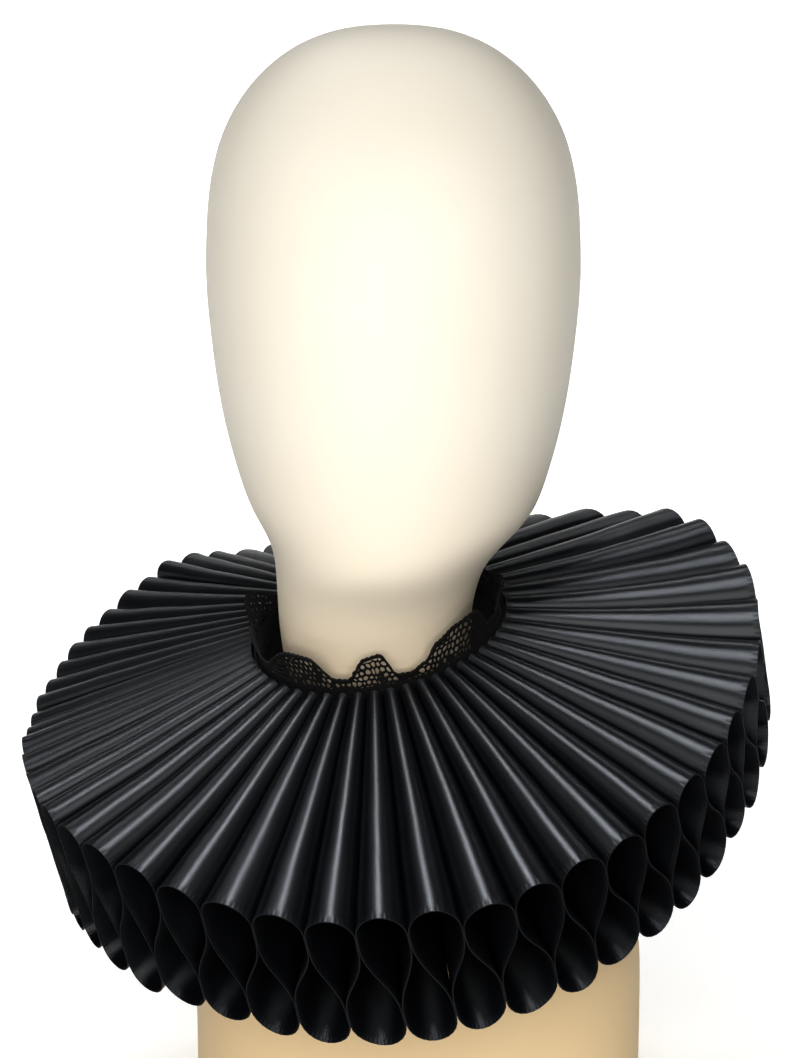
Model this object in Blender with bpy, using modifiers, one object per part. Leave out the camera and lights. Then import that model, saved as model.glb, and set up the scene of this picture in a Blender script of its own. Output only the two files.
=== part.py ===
"""Pleated satin ruff collar, standing on a smooth display head.

The ruff is one long ribbon set in figure-eight loops round a neckband. Metres, +Z up.
The wearer faces -Y. The origin is the centre of the flat underside of the display head.
"""

import math

import bmesh
import bpy
from mathutils import Matrix, Vector

MM = 0.001

# Where the ruff sits on the neck, and how it leans
RUFF_CENTRE = Vector((-7.5 * MM, -20.5 * MM, 163 * MM))
LEAN_FORWARD = math.radians(18.0)
LEAN_LEFT = math.radians(-11.0)
BACK_OPENING = 90.0  # ring angle of the slit, in degrees: 0 is +X, 90 is the back
SLIT_WIDTH = 1.2 * MM

# Ribbon and its loops
CLOTH_WALL = 1.0 * MM
RIBBON_WIDTH = 101.6 * MM
TOP_LOOPS = 52
# Ribbon taken up by one top loop and one bottom loop. It is even where it is sewn, but some
# stretches are drawn out longer at the rim (ring angle in degrees, mm of ribbon)
SEWN_RIBBON = 127.0 * MM
RIM_RIBBON = (
    (30.0, 127.0),
    (150.0, 131.0),
    (190.0, 146.0),
    (220.0, 153.0),
    (250.0, 143.0),
    (280.0, 135.0),
    (310.0, 121.0),
    (340.0, 113.0),
)
LOOP_GAP = 0.5 * MM
ROUND_LOOP_RADIUS = 8.65 * MM  # narrower loops than this are tall, wider ones are flat
LOOP_ROUNDING = 0.7
ARC_STEPS = 5
RADIAL_STEPS = 2
SEAM_GAP = 0.4 * MM

# Neck opening: half width across the shoulders, and half depth front to back
NECK_HALF_WIDTH = 52.0 * MM
NECK_HALF_DEPTH = 48.0 * MM

# Heights in the ruff's own frame, whose zero is the middle of the rim
NECK_EDGE_HEIGHT = 21.0 * MM
RIM_SLOPE = math.radians(12.0)
RIM_CURL = 1.5  # how late towards the rim the waves and loose loops set in
LOOSE_LOOP = 1.2 * MM  # how far single loops stand out of line at the rim
# (share of that, turns per loop in radians, start in radians)
LOOSE_WAVES = (
    (0.6, 2.1, 0.0),
    (0.4, 3.7, 1.0),
)

# How the rim rises and falls round the ring
# (waves round the ring, height in mm, ring angle of a crest in degrees)
RIM_WAVES = (
    (1, 3.5, -6.0),
    (2, 8.8, 0.0),
    (3, 6.3, -1.0),
    (4, 2.5, 28.0),
)
# The two ends of the ruffle sink at the back: ring angles in degrees, and depth
BACK_DIP_ANGLE = 103.0
BACK_DIP_REACH = 31.0
BACK_DIP = 13.0 * MM

# How closely the loops stand (ring angle in degrees, degrees of ring for one top loop)
LOOP_SPACING = (
    (5.0, 9.7),
    (45.0, 9.7),
    (95.0, 7.5),
    (122.0, 5.0),
    (185.0, 4.8),
    (222.0, 7.8),
    (270.0, 7.6),
    (318.0, 6.7),
)

# The ribbon is in four lengths, joined under bottom loops: name and last top loop
JOIN_GAP = 0.8 * MM  # along the middle of the wall; less is left between the ends' corners
RIBBON_LENGTHS = (
    ("ruffle_right_back", 13),
    ("ruffle_right_side", 26),
    ("ruffle_front", 39),
    ("ruffle_left", 52),
)

# Neckband
BAND_HEIGHT = 56.0 * MM
BAND_STEPS = 96

# Lace trim: it stands straight for a little way over the band, then leans out
LACE_FOOT_DEPTH = 7.0 * MM
LACE_STRAIGHT = 3.2 * MM
LACE_STEPS = 144
LACE_LEAN = 0.2  # lean away from the neck, as a share of the height
LACE_PUSH = 0.55  # more lean where the ruff lies close under the jaw
LACE_PUSH_ANGLE = 55.0
# (waves round the ring, lean as a share of the height, start in radians)
LACE_FLUTES = (
    (9, 0.10, 0.4),
    (5, 0.05, 1.0),
)
# Uneven scallops of the upper edge (ring angle in degrees, height over the band in mm)
LACE_EDGE = (
    (6.0, 9.0),
    (22.0, 5.8),
    (38.0, 9.5),
    (53.0, 5.5),
    (68.0, 9.5),
    (83.0, 6.0),
    (97.0, 13.0),
    (110.0, 7.0),
    (128.0, 16.0),
    (144.0, 8.0),
    (162.0, 17.0),
    (176.0, 8.0),
    (192.0, 17.5),
    (206.0, 9.0),
    (226.0, 19.0),
    (238.0, 19.0),
    (248.0, 8.0),
    (253.0, 7.5),
    (264.0, 16.5),
    (271.0, 17.5),
    (278.0, 6.5),
    (284.0, 6.0),
    (291.0, 9.0),
    (298.0, 16.0),
    (311.0, 18.5),
    (320.0, 20.0),
    (333.0, 8.0),
    (340.0, 7.0),
    (352.0, 13.0),
)
# (share of the height over the straight foot, share of the lean)
LACE_ROWS = (
    (0.0, 0.0),
    (0.5, 0.38),
    (1.0, 1.0),
)

# Hook and bar closure
WIRE_RADIUS = 0.4 * MM
WIRE_GAP = 0.35 * MM
HOOK_STEPS = 6
SHANK_LENGTH = 7.0 * MM
SHANK_BENDS = (1.0, 0.7, 0.4, 0.1)  # shares of its length, so that it follows the band
HOOK_TIP = 2.0 * MM
BAR_ACROSS = -3.0 * MM  # from the middle of the slit
BAR_HALF = 3.0 * MM
BAR_LEG = 3.0 * MM
BAR_BEND = 0.6 * MM
HOOK_HEIGHTS = {"upper": 16.0 * MM, "lower": -14.0 * MM}  # from the middle of the neckband

# Display head, as level sections:
# (height, centre x, centre y, half width, depth in front, depth behind), all in mm
HEAD_SECTIONS = (
    (0.0, 0.0, 0.0, 92.5, 72.5, 72.5),
    (3.0, 0.0, 0.0, 95.0, 75.0, 75.0),
    (34.0, 0.0, 0.0, 95.0, 75.0, 75.0),
    (64.0, 0.0, 0.0, 94.5, 74.5, 74.5),
    (79.0, 0.5, -1.0, 90.0, 71.0, 72.0),
    (91.0, 1.0, -3.0, 80.0, 64.0, 66.0),
    (103.0, 1.0, -6.0, 66.0, 54.0, 58.0),
    (116.0, 0.5, -9.5, 57.0, 50.0, 55.0),
    (128.0, -1.5, -13.0, 52.0, 48.2, 50.0),
    (139.0, -4.0, -16.0, 48.2, 45.8, 46.5),
    (150.0, -7.0, -19.5, 43.5, 42.0, 43.0),
    (162.0, -9.5, -23.0, 41.0, 40.5, 41.0),
    (175.0, -12.0, -27.0, 39.5, 39.5, 40.0),
    (200.0, -16.5, -35.5, 38.5, 39.0, 39.5),
    (216.0, -18.0, -40.0, 38.5, 41.5, 40.0),
    (230.0, -17.0, -41.5, 40.0, 48.0, 41.5),
    (240.0, -15.5, -41.0, 42.0, 59.0, 43.0),
    (249.0, -12.5, -38.0, 47.5, 66.0, 48.0),
    (260.0, -10.5, -33.0, 56.5, 72.0, 55.0),
    (276.0, -10.5, -28.0, 62.5, 78.5, 68.0),
    (300.0, -10.5, -25.0, 68.5, 84.0, 83.0),
    (325.0, -10.5, -23.0, 72.0, 87.0, 92.0),
    (352.0, -10.5, -22.0, 74.0, 87.5, 95.0),
    (378.0, -10.5, -21.0, 73.0, 84.5, 92.5),
    (400.0, -10.5, -20.0, 69.0, 77.0, 85.0),
    (418.0, -10.5, -19.0, 60.5, 65.0, 73.0),
    (433.0, -10.5, -18.0, 47.0, 50.0, 55.0),
    (442.0, -10.5, -17.0, 32.0, 34.0, 37.0),
    (446.5, -10.5, -16.5, 15.0, 16.0, 17.0),
)
HEAD_CROWN_RISE = 0.8 * MM  # of the crown's middle over the last section
HEAD_SIDES = 36
BASE_SQUARENESS = 2.5  # 2 is a plain oval
HEAD_SQUARENESS = 2.15
SHOULDER_HEIGHT = 110.0 * MM

SATIN = ("satin_ribbon", (0.010, 0.011, 0.014), 0.34)
BAND = ("neckband_ribbon", (0.012, 0.012, 0.014), 0.55)
LACE = ("lace", (0.013, 0.012, 0.014), 0.75)
WIRE = ("hook_wire", (0.030, 0.030, 0.032), 0.35)
FORM = ("display_form", (0.86, 0.76, 0.60), 0.42)


def ruff_matrix():
    """Place of the ruff's own frame in the world."""
    lean = Matrix.Rotation(LEAN_LEFT, 4, "Y") @ Matrix.Rotation(LEAN_FORWARD, 4, "X")
    return Matrix.Translation(RUFF_CENTRE) @ lean


def eased(share):
    """Turn a straight 0 to 1 ramp into one with soft ends."""
    return 0.5 - 0.5 * math.cos(math.pi * share)


def round_ring(table, angle):
    """Value at a ring angle in degrees, from a table of (ring angle, value) rows."""
    rows = list(table)
    rows.append((table[0][0] + 360.0, table[0][1]))
    angle = (angle - rows[0][0]) % 360.0 + rows[0][0]
    for (start, first), (end, second) in zip(rows, rows[1:]):
        if angle <= end:
            return first + (second - first) * eased((angle - start) / (end - start))
    return rows[-1][1]


def ring_table(steps=1440):
    """Running count of loops from the slit round the ring, as (count, ring angle) rows."""
    slit = math.degrees(SLIT_WIDTH / NECK_HALF_DEPTH)
    start = BACK_OPENING + slit / 2
    span = 360.0 - slit
    rows = [(0.0, start)]
    count = 0.0
    for step in range(steps):
        middle = start + span * (step + 0.5) / steps
        count += span / steps / round_ring(LOOP_SPACING, middle)
        rows.append((count, start + span * (step + 1) / steps))
    return [(row_count * TOP_LOOPS / count, angle) for row_count, angle in rows]


def ring_angle(table, place):
    """Ring angle, in radians, at a running count of loops."""
    steps = len(table) - 1
    low, high = 0, steps
    while high - low > 1:
        middle = (low + high) // 2
        if table[middle][0] <= place:
            low = middle
        else:
            high = middle
    (count_a, angle_a), (count_b, angle_b) = table[low], table[high]
    return math.radians(angle_a + (angle_b - angle_a) * (place - count_a) / (count_b - count_a))


def neck_radius(angle):
    """Radius of the oval neck edge of the ribbon at a ring angle."""
    wide, deep = NECK_HALF_WIDTH, NECK_HALF_DEPTH
    return wide * deep / math.hypot(deep * math.cos(angle), wide * math.sin(angle))


def ribbon_per_loop(angle, share):
    """Ribbon in one top loop and one bottom loop, from the neck edge (0) to the rim (1)."""
    drawn_out = round_ring(RIM_RIBBON, math.degrees(angle)) * MM - SEWN_RIBBON
    return SEWN_RIBBON + share ** RIM_CURL * drawn_out


def loop_shape(pitch, ribbon):
    """Half width, half height, centre height and leaving angle of a loop.

    The height comes from the ribbon in it: loops that are spread apart are lower than
    loops that are pushed together.
    """
    half_width = (pitch - CLOTH_WALL - LOOP_GAP) / 2
    half_height = ROUND_LOOP_RADIUS * (half_width / ROUND_LOOP_RADIUS) ** LOOP_ROUNDING
    low, high = half_height, ribbon / 2
    for _ in range(40):
        centre = (low + high) / 2
        across = pitch / 2 * half_height / half_width
        apart = math.hypot(across, 2 * centre)
        if apart <= 2 * half_height:
            low = centre
            continue
        leave = math.acos(2 * half_height / apart) - math.atan2(2 * centre, across)
        straight = math.hypot(
            pitch / 2 - 2 * half_width * math.cos(leave),
            2 * centre + 2 * half_height * math.sin(leave),
        )
        arc = arc_length(half_width, half_height, leave)
        if 2 * (straight + arc) < ribbon:
            low = centre
        else:
            high = centre
    return half_width, half_height, centre, leave


def arc_length(half_width, half_height, leave, steps=24):
    """Length of the oval arc over one loop."""
    points = []
    for step in range(steps + 1):
        turn = math.pi - leave + (2 * leave - math.pi) * step / steps
        points.append(Vector((half_width * math.cos(turn), half_height * math.sin(turn))))
    return sum((b - a).length for a, b in zip(points, points[1:]))


def rim_wave(angle):
    """Rise of the rim at a ring angle."""
    rise = sum(
        height * MM * math.cos(waves * (angle - math.radians(crest)))
        for waves, height, crest in RIM_WAVES
    )
    from_dip = (math.degrees(angle) - BACK_DIP_ANGLE + 180.0) % 360.0 - 180.0
    if abs(from_dip) < BACK_DIP_REACH:
        rise -= BACK_DIP * eased(1 - abs(from_dip) / BACK_DIP_REACH)
    return rise


def loose_height(loop):
    """How far one loop stands out of line at the rim."""
    waves = sum(share * math.sin(turns * loop + start) for share, turns, start in LOOSE_WAVES)
    return LOOSE_LOOP * waves


def ruff_point(angle, radius, height):
    """Point in the ruff's own frame."""
    return Vector((radius * math.cos(angle), radius * math.sin(angle), height))


def loop_at(table, place, share):
    """Pitch and shape of the loop at a running count, at a share of the ribbon's width."""
    angle = ring_angle(table, place)
    step_angle = (ring_angle(table, place + 0.25) - ring_angle(table, place - 0.25)) * 2
    pitch = step_angle * (neck_radius(angle) + RIBBON_WIDTH * share * math.cos(RIM_SLOPE))
    return pitch, loop_shape(pitch, ribbon_per_loop(angle, share))


def ruffle_row(table, share, first, last):
    """Points along one length of ribbon, from the neck edge (0) to the rim (1).

    first and last are its first and last top loop. It ends halfway under a bottom loop,
    apart from the two ends of the whole ribbon, which hang next to the slit.
    """
    reach = RIBBON_WIDTH * share
    starts_inside, ends_inside = first > 0, last < TOP_LOOPS - 1
    points = []
    for loop in range(2 * first - starts_inside, 2 * last + 1 + ends_inside):
        top = loop % 2 == 0
        place = loop / 2 + 0.5
        pitch, (half_width, half_height, centre, leave) = loop_at(table, place, share)
        half_gap = JOIN_GAP / 2 / arc_length(half_width, half_height, leave)
        begin, finish = 0.0, 1.0
        if not top and loop < 2 * first:
            begin = 0.5 + half_gap
        if not top and loop > 2 * last:
            finish = 0.5 - half_gap
        turns = loop_turns(top, leave, begin, finish)
        if loop == 0:
            turns = tail_turns(leave)[:1] + turns
        if loop == 2 * TOP_LOOPS - 2:
            turns = turns + tail_turns(leave)[1:]
        for side, turn in turns:
            height = side * centre + half_height * math.sin(turn)
            offset = half_width * math.cos(turn) / pitch
            if side != (1 if top else -1):
                offset += -0.5 if loop == 0 else 0.5
            here = ring_angle(table, place + offset)
            radius = neck_radius(here) + reach * math.cos(RIM_SLOPE)
            middle = NECK_EDGE_HEIGHT - reach * math.sin(RIM_SLOPE)
            middle += share ** RIM_CURL * (rim_wave(here) + loose_height(loop))
            points.append(ruff_point(here, radius, middle + height))
    return points


def loop_turns(top, leave, begin, finish):
    """Angles round a loop, as (1 for a top loop or -1 for a bottom one, angle)."""
    shares = [step / ARC_STEPS for step in range(ARC_STEPS + 1)]
    shares = [begin] + [share for share in shares if begin < share < finish] + [finish]
    turns = []
    for share in shares:
        if top:
            turns.append((1, math.pi - leave + (2 * leave - math.pi) * share))
        else:
            turns.append((-1, math.pi + leave + (math.pi - 2 * leave) * share))
    return turns


def tail_turns(leave):
    """Where the strip's two ends hang, next to the slit."""
    return [(-1, -leave), (-1, math.pi + leave)]


def new_object(name, shape, look, collection, matrix=None):
    """Add an object that holds a mesh or curve, with its own material."""
    part = bpy.data.objects.new(name, shape)
    collection.objects.link(part)
    if matrix is not None:
        part.matrix_world = matrix
    colour_name, colour, roughness = look
    material = bpy.data.materials.new(f"{name}_{colour_name}")
    material.use_nodes = True
    shader = material.node_tree.nodes["Principled BSDF"]
    shader.inputs["Base Color"].default_value = (*colour, 1.0)
    shader.inputs["Roughness"].default_value = roughness
    shader.inputs["Metallic"].default_value = 0.0
    shape.materials.append(material)
    return part


def grid_mesh(name, rows):
    """Open surface through rows of points of equal length."""
    mesh = bpy.data.meshes.new(name)
    shape = bmesh.new()
    grid = [[shape.verts.new(point) for point in row] for row in rows]
    for low, high in zip(grid, grid[1:]):
        for i in range(len(low) - 1):
            shape.faces.new((low[i], low[i + 1], high[i + 1], high[i]))
    shape.to_mesh(mesh)
    shape.free()
    mesh.shade_smooth()
    return mesh


def add_wall(part):
    """Give an open surface the thickness of the cloth, half to each side."""
    wall = part.modifiers.new("cloth wall", "SOLIDIFY")
    wall.thickness = CLOTH_WALL
    wall.offset = 0.0
    wall.use_even_offset = True


def make_ruffle(collection, matrix):
    """The ribbon's lengths, one after another round the ring."""
    table = ring_table()
    stations = [step / RADIAL_STEPS for step in range(RADIAL_STEPS + 1)]
    first = 0
    for name, loops in RIBBON_LENGTHS:
        rows = [ruffle_row(table, share, first, loops - 1) for share in stations]
        add_wall(new_object(name, grid_mesh(name, rows), SATIN, collection, matrix))
        first = loops


def band_radius(angle):
    """Middle of the neckband's wall."""
    return neck_radius(angle) - SEAM_GAP - CLOTH_WALL / 2


def ring_angles(steps, radius):
    """Evenly spaced ring angles from one side of the back slit round to the other."""
    half_slit = SLIT_WIDTH / 2 / radius
    start = math.radians(BACK_OPENING) + half_slit
    span = 2 * math.pi - 2 * half_slit
    return [start + span * step / steps for step in range(steps + 1)]


def make_neckband(collection, matrix):
    rows = []
    for side in (-1, 1):
        height = NECK_EDGE_HEIGHT + side * BAND_HEIGHT / 2
        angles = ring_angles(BAND_STEPS, NECK_HALF_DEPTH)
        rows.append([ruff_point(angle, band_radius(angle), height) for angle in angles])
    band = new_object("neckband", grid_mesh("neckband", rows), BAND, collection, matrix)
    add_wall(band)


def jaw_side(angle):
    """1 where the ruff lies closest under the jaw, falling to 0 a quarter ring away."""
    return max(0.0, math.cos(angle - math.radians(LACE_PUSH_ANGLE))) ** 2


def make_lace_trim(collection, matrix):
    """Lace sewn inside the band's top edge, scalloped and leaning out over the pleats."""
    band_top = NECK_EDGE_HEIGHT + BAND_HEIGHT / 2
    foot_inset = CLOTH_WALL / 2 + SEAM_GAP + CLOTH_WALL / 2
    angles = ring_angles(LACE_STEPS, NECK_HALF_DEPTH)
    foot = [
        ruff_point(angle, band_radius(angle) - foot_inset, band_top - LACE_FOOT_DEPTH)
        for angle in angles
    ]
    rows = [foot]
    for height_share, lean_share in LACE_ROWS:
        row = []
        for angle in angles:
            rise = round_ring(LACE_EDGE, math.degrees(angle)) * MM - LACE_STRAIGHT
            lean = LACE_LEAN + LACE_PUSH * jaw_side(angle)
            lean += sum(deep * math.sin(waves * angle + start) for waves, deep, start in LACE_FLUTES)
            radius = band_radius(angle) - foot_inset + lean_share * lean * rise
            row.append(ruff_point(angle, radius, band_top + LACE_STRAIGHT + height_share * rise))
        rows.append(row)
    lace = new_object("lace_trim", grid_mesh("lace_trim", rows), LACE, collection, matrix)
    add_wall(lace)


def make_wire(name, points, collection, matrix):
    """Bent wire with closed ends, as a mesh object in the ruff's frame."""
    curve = bpy.data.curves.new(name, "CURVE")
    curve.dimensions = "3D"
    curve.bevel_depth = WIRE_RADIUS
    curve.bevel_resolution = 1
    curve.use_fill_caps = True
    spline = curve.splines.new("POLY")
    spline.points.add(len(points) - 1)
    for slot, point in zip(spline.points, points):
        slot.co = (*point, 1.0)
    new_object(name, curve, WIRE, collection, matrix)


def closure_point(across, inward, height):
    """Point at the back slit: across it, in from the band's inner face, and up."""
    angle = math.radians(BACK_OPENING)
    face = band_radius(angle) - CLOTH_WALL / 2
    along = Vector((-math.sin(angle), math.cos(angle), 0.0))
    outward = Vector((math.cos(angle), math.sin(angle), 0.0))
    curve_in = face - math.sqrt(face ** 2 - across ** 2)
    return outward * (face - inward - curve_in) + along * across + Vector((0, 0, height))


def make_closure(collection, matrix):
    """Two hooks on one end of the band, each round a bar on the other end."""
    shank_depth = WIRE_GAP + WIRE_RADIUS
    bend_radius = 2 * WIRE_RADIUS + WIRE_GAP
    bar_depth = shank_depth + bend_radius
    for label, from_middle in HOOK_HEIGHTS.items():
        level = NECK_EDGE_HEIGHT + from_middle
        hook = [
            closure_point(SHANK_LENGTH * share, shank_depth, level) for share in SHANK_BENDS
        ]
        for step in range(HOOK_STEPS + 1):
            turn = math.pi * step / HOOK_STEPS
            across = BAR_ACROSS - bend_radius * math.sin(turn)
            depth = bar_depth - bend_radius * math.cos(turn)
            hook.append(closure_point(across, depth, level))
        hook.append(closure_point(BAR_ACROSS + HOOK_TIP, bar_depth + bend_radius, level))
        make_wire(f"hook_{label}", hook, collection, matrix)
        bar = [
            closure_point(BAR_ACROSS - BAR_LEG, shank_depth, level - BAR_HALF),
            closure_point(BAR_ACROSS - BAR_BEND, shank_depth, level - BAR_HALF),
            closure_point(BAR_ACROSS, bar_depth - BAR_BEND / 2, level - BAR_HALF),
            closure_point(BAR_ACROSS, bar_depth, level - BAR_HALF + BAR_BEND),
            closure_point(BAR_ACROSS, bar_depth, level + BAR_HALF - BAR_BEND),
            closure_point(BAR_ACROSS, bar_depth - BAR_BEND / 2, level + BAR_HALF),
            closure_point(BAR_ACROSS - BAR_BEND, shank_depth, level + BAR_HALF),
            closure_point(BAR_ACROSS - BAR_LEG, shank_depth, level + BAR_HALF),
        ]
        make_wire(f"bar_{label}", bar, collection, matrix)


def head_section(row):
    """Level ring of points round the display head."""
    height, centre_x, centre_y, half_width, front, behind = (value * MM for value in row)
    power = BASE_SQUARENESS if height < SHOULDER_HEIGHT else HEAD_SQUARENESS
    ring = []
    for step in range(HEAD_SIDES):
        angle = 2 * math.pi * step / HEAD_SIDES
        across = math.copysign(abs(math.cos(angle)) ** (2 / power), math.cos(angle))
        deep = math.copysign(abs(math.sin(angle)) ** (2 / power), math.sin(angle))
        depth = behind if deep > 0 else front
        ring.append(Vector((centre_x + half_width * across, centre_y + depth * deep, height)))
    return ring


def make_display_head(collection):
    """Loft between unlike level sections, closed by a flat underside and a crown."""
    mesh = bpy.data.meshes.new("display_head")
    shape = bmesh.new()
    rings = [[shape.verts.new(point) for point in head_section(row)] for row in HEAD_SECTIONS]
    for low, high in zip(rings, rings[1:]):
        for i in range(HEAD_SIDES):
            j = (i + 1) % HEAD_SIDES
            shape.faces.new((low[i], low[j], high[j], high[i]))
    shape.faces.new(list(reversed(rings[0])))
    crown = sum((vert.co for vert in rings[-1]), Vector()) / HEAD_SIDES
    peak = shape.verts.new(crown + Vector((0, 0, HEAD_CROWN_RISE)))
    for i in range(HEAD_SIDES):
        shape.faces.new((rings[-1][i], rings[-1][(i + 1) % HEAD_SIDES], peak))
    shape.to_mesh(mesh)
    shape.free()
    mesh.shade_smooth()
    mesh.set_sharp_from_angle(angle=math.radians(50))
    new_object("display_head", mesh, FORM, collection)


def main():
    for item in list(bpy.data.objects):
        bpy.data.objects.remove(item, do_unlink=True)
    collection = bpy.data.collections.new("ruff_collar")
    bpy.context.scene.collection.children.link(collection)
    matrix = ruff_matrix()
    make_ruffle(collection, matrix)
    make_neckband(collection, matrix)
    make_lace_trim(collection, matrix)
    make_closure(collection, matrix)
    make_display_head(collection)


main()
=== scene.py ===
import math
import random

import bpy
import numpy as np
from mathutils import Matrix, Vector


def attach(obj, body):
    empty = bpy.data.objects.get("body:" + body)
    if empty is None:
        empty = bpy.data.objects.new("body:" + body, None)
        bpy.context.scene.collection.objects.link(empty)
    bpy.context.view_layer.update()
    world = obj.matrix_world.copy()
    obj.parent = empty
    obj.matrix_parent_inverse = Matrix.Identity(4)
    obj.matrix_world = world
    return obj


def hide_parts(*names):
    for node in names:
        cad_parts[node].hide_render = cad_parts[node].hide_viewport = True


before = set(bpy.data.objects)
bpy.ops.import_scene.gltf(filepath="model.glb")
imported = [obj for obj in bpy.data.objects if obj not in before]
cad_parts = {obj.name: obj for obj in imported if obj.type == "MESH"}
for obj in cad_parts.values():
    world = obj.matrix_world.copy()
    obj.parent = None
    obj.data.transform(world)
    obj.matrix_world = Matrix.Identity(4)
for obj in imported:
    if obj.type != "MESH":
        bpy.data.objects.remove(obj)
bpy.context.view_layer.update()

mm = 0.001


# Where the ruff sits: its own frame has the middle of the rim at zero height
ruffPlace = {
    "centre": Vector((-7.5, -20.5, 163.0)) * mm,
    "leanForward": math.radians(18.0),
    "leanLeft": math.radians(-11.0),
    "neckHalfWidth": 52.0 * mm,
    "neckHalfDepth": 48.0 * mm,
    "neckEdgeHeight": 21.0 * mm,
    "backAngle": 90.0,  # ring angle of the slit, in degrees: 0 is +X, 90 is the back
    "slitWidth": 1.2 * mm,
}


def ruffMatrix():
    lean = Matrix.Rotation(ruffPlace["leanLeft"], 4, "Y")
    lean = lean @ Matrix.Rotation(ruffPlace["leanForward"], 4, "X")
    return Matrix.Translation(ruffPlace["centre"]) @ lean


def neckRadius(angle):
    wide, deep = ruffPlace["neckHalfWidth"], ruffPlace["neckHalfDepth"]
    return wide * deep / np.hypot(deep * np.cos(angle), wide * np.sin(angle))


def roundRing(table, degrees):
    # value at a ring angle, eased between the rows of a (ring angle, value) table
    rows = list(table) + [(table[0][0] + 360.0, table[0][1])]
    angle = (degrees - rows[0][0]) % 360.0 + rows[0][0]
    for (start, first), (end, second) in zip(rows, rows[1:]):
        if angle <= end:
            share = 0.5 - 0.5 * math.cos(math.pi * (angle - start) / (end - start))
            return first + (second - first) * share
    return rows[-1][1]


def placeInWorld(points):
    # points of the ruff's own frame, moved to the world
    matrix = np.array(ruffMatrix())
    return np.asarray(points) @ matrix[:3, :3].T + matrix[:3, 3]


# Geometry Nodes and shader helpers

class Tree:
    # short way to put nodes in a tree and wire them
    def __init__(self, tree):
        self.tree = tree

    def put(self, kind, *values, out=0, **settings):
        node = self.tree.nodes.new(kind)
        byName = settings.pop("to", {})
        for name, value in settings.items():
            setattr(node, name, value)
        for slot, value in list(enumerate(values)) + list(byName.items()):
            self.join(value, node.inputs[slot])
        return node.outputs[out] if out is not None else node

    def join(self, value, socket):
        if value is None:
            return
        if isinstance(value, bpy.types.NodeSocket):
            self.tree.links.new(value, socket)
        else:
            socket.default_value = value

    def math(self, operation, *values):
        return self.put("ShaderNodeMath", *values, operation=operation)

    def vector(self, operation, *values):
        out = 1 if operation in ("DOT_PRODUCT", "LENGTH", "DISTANCE") else 0
        return self.put("ShaderNodeVectorMath", *values, operation=operation, out=out)

    def scale(self, vector, amount):
        return self.put(
            "ShaderNodeVectorMath", vector, operation="SCALE", to={"Scale": amount}
        )

    def ramp(self, value, low, high, start=0.0, end=1.0, smooth=False):
        kind = "SMOOTHSTEP" if smooth else "LINEAR"
        return self.put(
            "ShaderNodeMapRange", value, low, high, start, end, interpolation_type=kind
        )


def shapeTree(name, sizes):
    # a Geometry Nodes tree with a geometry input and one named input for each size
    group = bpy.data.node_groups.new(name, "GeometryNodeTree")
    face = group.interface
    face.new_socket("Geometry", in_out="INPUT", socket_type="NodeSocketGeometry")
    for label, value in sizes.items():
        kind = "Int" if isinstance(value, int) else "Float"
        if isinstance(value, bpy.types.Material):
            kind = "Material"
        socket = face.new_socket(label, in_out="INPUT", socket_type="NodeSocket" + kind)
        if kind != "Material":
            socket.default_value = value
    face.new_socket("Geometry", in_out="OUTPUT", socket_type="NodeSocketGeometry")
    tree = Tree(group)
    start = group.nodes.new("NodeGroupInput")
    end = group.nodes.new("NodeGroupOutput")
    return tree, start.outputs, end.inputs[0]


def finishTree(tree, shape, material, end):
    shape = tree.put("GeometryNodeRealizeInstances", shape)
    shape = tree.put("GeometryNodeSetMaterial", shape, to={"Material": material})
    tree.join(shape, end)


def growMesh(name, guide, tree, sizes):
    # run a tree on a guide mesh, and keep the result as a plain mesh object
    holder = bpy.data.objects.new(name + "Guide", guide)
    bpy.context.scene.collection.objects.link(holder)
    modifier = holder.modifiers.new(name, "NODES")
    modifier.node_group = tree.tree
    for item in tree.tree.interface.items_tree:
        if item.in_out == "INPUT" and item.name in sizes:
            modifier[item.identifier] = sizes[item.name]
    made = holder.evaluated_get(bpy.context.evaluated_depsgraph_get())
    mesh = bpy.data.meshes.new_from_object(made)
    mesh.name = name
    bpy.data.objects.remove(holder)
    bpy.data.meshes.remove(guide)
    return addPiece(name, mesh)


def addPiece(name, mesh):
    piece = bpy.data.objects.new(name, mesh)
    bpy.context.scene.collection.objects.link(piece)
    return piece


def settleModifiers(piece):
    # replace a piece's mesh with its evaluated one, and drop the modifiers
    made = piece.evaluated_get(bpy.context.evaluated_depsgraph_get())
    mesh = bpy.data.meshes.new_from_object(made)
    old = piece.data
    piece.modifiers.clear()
    piece.data = mesh
    mesh.name = old.name
    bpy.data.meshes.remove(old)


def gridMesh(name, rows, closed=False):
    # open surface through rows of points of equal length
    rows = np.asarray(rows)
    high, wide = rows.shape[:2]
    mesh = bpy.data.meshes.new(name)
    faces = []
    for i in range(high - 1):
        for j in range(wide if closed else wide - 1):
            k = (j + 1) % wide
            faces.append((i * wide + j, i * wide + k, (i + 1) * wide + k, (i + 1) * wide + j))
    mesh.from_pydata(rows.reshape(-1, 3).tolist(), [], faces)
    return mesh


def addUv(mesh, wide, uvOf):
    # uvOf(row, column) gives a point's place on the cloth, in metres
    layer = mesh.uv_layers.new(name="UVMap")
    for loop in mesh.loops:
        row, column = divmod(loop.vertex_index, wide)
        layer.data[loop.index].uv = uvOf(row, column)


def addWall(piece, thickness, sharp=50.0, even=True):
    wall = piece.modifiers.new("wall", "SOLIDIFY")
    wall.thickness = thickness
    wall.offset = 0.0
    wall.use_even_offset = even
    settleModifiers(piece)
    piece.data.shade_smooth()
    piece.data.set_sharp_from_angle(angle=math.radians(sharp))


# Shader groups that several materials share

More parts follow.
